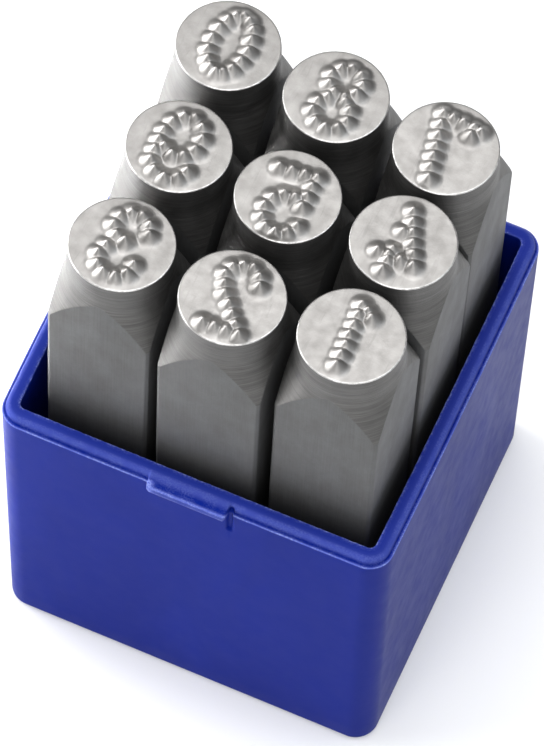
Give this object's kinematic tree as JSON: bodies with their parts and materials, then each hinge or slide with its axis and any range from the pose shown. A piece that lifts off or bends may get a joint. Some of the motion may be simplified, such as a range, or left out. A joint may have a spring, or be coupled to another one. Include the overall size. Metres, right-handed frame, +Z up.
{
  "type": "number punch set",
  "caption": "Square-shank steel hand punches with raised dotted mirrored digits, standing upright in an open moulded plastic box with a stepped rim and latch lug.",
  "frame": {"origin": "on the surface the box stands on, under the middle of the box's four walls", "axes": "+Z up along the punches, +X to the right, -Y towards the wall with the latch lug"},
  "size_m": [0.0496, 0.0504, 0.08],
  "materials": {
    "box_plastic": "satin blue injection-moulded polypropylene",
    "punch_steel": "bare turned and ground tool steel"
  },
  "bodies": {
    "storage_box": {"storage_box": "box_plastic"},
    "punch_3": {"number_punch_3": "punch_steel"},
    "punch_2": {"number_punch_2": "punch_steel"},
    "punch_1": {"number_punch_1": "punch_steel"},
    "punch_9": {"number_punch_9": "punch_steel"},
    "punch_5": {"number_punch_5": "punch_steel"},
    "punch_4": {"number_punch_4": "punch_steel"},
    "punch_0": {"number_punch_0": "punch_steel"},
    "punch_8": {"number_punch_8": "punch_steel"},
    "punch_7": {"number_punch_7": "punch_steel"}
  },
  "joints": [
    {"name": "lift_3", "type": "slide", "parent": "storage_box", "child": "punch_3", "axis": [0, 0, 1], "range_m": [0, 0.085]},
    {"name": "lift_2", "type": "slide", "parent": "storage_box", "child": "punch_2", "axis": [0, 0, 1], "range_m": [0, 0.085]},
    {"name": "lift_1", "type": "slide", "parent": "storage_box", "child": "punch_1", "axis": [0, 0, 1], "range_m": [0, 0.085]},
    {"name": "lift_9", "type": "slide", "parent": "storage_box", "child": "punch_9", "axis": [0, 0, 1], "range_m": [0, 0.085]},
    {"name": "lift_5", "type": "slide", "parent": "storage_box", "child": "punch_5", "axis": [0, 0, 1], "range_m": [0, 0.085]},
    {"name": "lift_4", "type": "slide", "parent": "storage_box", "child": "punch_4", "axis": [0, 0, 1], "range_m": [0, 0.085]},
    {"name": "lift_0", "type": "slide", "parent": "storage_box", "child": "punch_0", "axis": [0, 0, 1], "range_m": [0, 0.085]},
    {"name": "lift_8", "type": "slide", "parent": "storage_box", "child": "punch_8", "axis": [0, 0, 1], "range_m": [0, 0.085]},
    {"name": "lift_7", "type": "slide", "parent": "storage_box", "child": "punch_7", "axis": [0, 0, 1], "range_m": [0, 0.085]}
  ]
}
